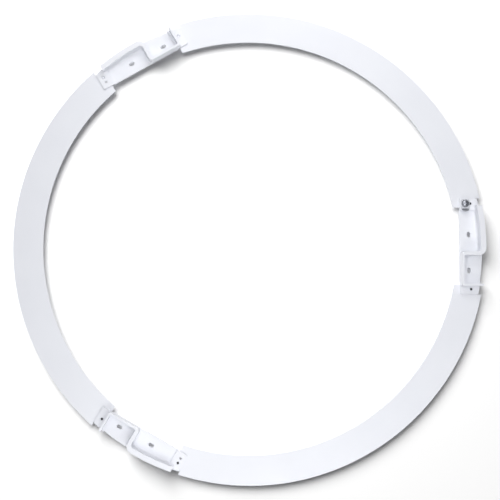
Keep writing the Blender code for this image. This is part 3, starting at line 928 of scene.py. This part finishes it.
FLOOR_DROP = 7.0 * MM
FLOOR_HALF = 6.0
floor = block("floor", (-FLOOR_HALF, -FLOOR_HALF, -0.02), (FLOOR_HALF, FLOOR_HALF, 0))
floor.location.z = -FLOOR_DROP
floor.data.materials.append(paper_floor())
print(f"floor {2 * FLOOR_HALF:.0f} m wide, {FLOOR_DROP / MM:.0f} mm below the ring")

# %% [markdown]
# ## Who is lit by what
#
# In a studio, flags and cards keep one lamp off the floor and another off the ring. Light linking does the
# same: a lamp is given a collection, and it shines only on what is in it. So the ring goes in one
# collection and the floor in another. An object may be in several collections, so nothing moves.


# %% Receivers of light
def receivers(name, objects):
    """A collection that a light can be told to shine on alone."""
    made = bpy.data.collections.new(name)
    for obj in objects:
        made.objects.link(obj)
    return made


pieces = [obj for obj in bpy.context.scene.objects if obj.type == "MESH" and obj is not floor]
ring_only = receivers("ring_receivers", pieces)
floor_only = receivers("floor_receivers", [floor])
print(len(pieces), "meshes in one group, the floor in the other")

# %% [markdown]
# ## World light
#
# The world gives a weak light from all sides, which keeps the shadows from going black. What the camera
# sees beyond the floor is set apart from that light: the Light Path node tells camera rays from the rest,
# and they get a tone close to that of the distant floor.

# %% World
WORLD, BACKDROP = 0.15, 0.75
world = bpy.data.worlds.new("studio")
bpy.context.scene.world = world
world.use_nodes = True
world.node_tree.nodes.clear()
seen = node(world.node_tree, "ShaderNodeLightPath").outputs["Is Camera Ray"]
brightness = node(
    world.node_tree, "ShaderNodeMapRange", inputs={"To Min": WORLD, "To Max": BACKDROP}, links={"Value": seen}
).outputs["Result"]
backdrop = node(world.node_tree, "ShaderNodeBackground", links={"Strength": brightness})
node(world.node_tree, "ShaderNodeOutputWorld", links={"Surface": backdrop.outputs["Background"]})


# %% [markdown]
# ## Lights
#
# A white ring on a white floor needs care: the floor must be brighter than the ring, and still show a
# shadow. So the floor and the ring each have their own lights, and light linking keeps them apart. The
# floor's key is a large disc at the upper left, with a wide sun from the same side, and together they give
# the long soft shadow. The ring is lit mostly from above, with a weak key and two soft boxes for the shine
# on its top and bottom.


# %% Lights
def aim(obj, target):
    way = Vector(target) - obj.location
    obj.rotation_euler = way.to_track_quat("-Z", "Y").to_euler()


def lamp(name, kind, location, target, energy, shines_on=None, **settings):
    data = bpy.data.lights.new(name, kind)
    data.energy = energy
    for key, value in settings.items():
        setattr(data, key, value)
    obj = bpy.data.objects.new(name, data)
    obj.location = location
    bpy.context.scene.collection.objects.link(obj)
    aim(obj, target)
    if shines_on:
        obj.light_linking.receiver_collection = shines_on
    return obj


centre = Vector((centre_x * MM, 0, 0))
KEY_AZIMUTH, RING_KEY_HEIGHT = math.radians(120), math.radians(55)  # upper left, and how high
toward_key = Vector((math.cos(KEY_AZIMUTH), math.sin(KEY_AZIMUTH), 0))
disc = centre + toward_key * 0.9 + Vector((0, 0, 1.0))
floor_sun_way = toward_key + Vector((0, 0, 1))
ring_key_way = toward_key + Vector((0, 0, math.tan(RING_KEY_HEIGHT)))
FLOOR_KEY, FLOOR_SUN, RING_KEY, OVERHEAD, SIDE_BOX = 17, 2.2, 0.3, 12.3, 1.75

lamp("floor_key", "AREA", disc, centre, FLOOR_KEY, floor_only, shape="DISK", size=1.2)
lamp("floor_sun", "SUN", floor_sun_way, (0, 0, 0), FLOOR_SUN, floor_only, angle=math.radians(55))
lamp("ring_key", "SUN", ring_key_way, (0, 0, 0), RING_KEY, ring_only, angle=math.radians(50))
lamp("ring_overhead", "AREA", (0, 0, 1.5), centre, OVERHEAD, ring_only, shape="SQUARE", size=1.2)
long_box = {"shape": "RECTANGLE", "size": 0.5, "size_y": 0.2}
for name, y in (("soft_box_top", 0.6), ("soft_box_bottom", -0.6)):
    lamp(name, "AREA", (0.05, y, 0.5), (0, y * 0.4, 0), SIDE_BOX, ring_only, **long_box)
print("lights:", sorted(light.name for light in bpy.data.lights))

# %% [markdown]
# ## Camera
#
# The ring is seen from straight above, a little off its middle, with a lens long enough to keep it round.
# The camera stands 1.19 m up, and the small tilt brings the ring back to the middle of the picture.

# %% Camera
SENSOR = 36.0
LENS_IN_SENSOR_WIDTHS = 1.87
ASIDE, BELOW, HEIGHT = 45.8, 70.8, 1.187  # millimetres off the ring's centre, and metres up
TILT = (3.21, -2.13, 0.07)  # degrees
camera_data = bpy.data.cameras.new("camera")
camera_data.sensor_width = SENSOR
camera_data.lens = SENSOR * LENS_IN_SENSOR_WIDTHS
camera = bpy.data.objects.new("camera", camera_data)
bpy.context.scene.collection.objects.link(camera)
camera.location = ((centre_x - ASIDE) * MM, -BELOW * MM, HEIGHT)
camera.rotation_euler = [math.radians(a) for a in TILT]
bpy.context.scene.camera = camera
print("camera looks along", camera.rotation_euler.to_matrix() @ Vector((0, 0, -1)))
bpy.context.scene.view_settings.view_transform = "Standard"
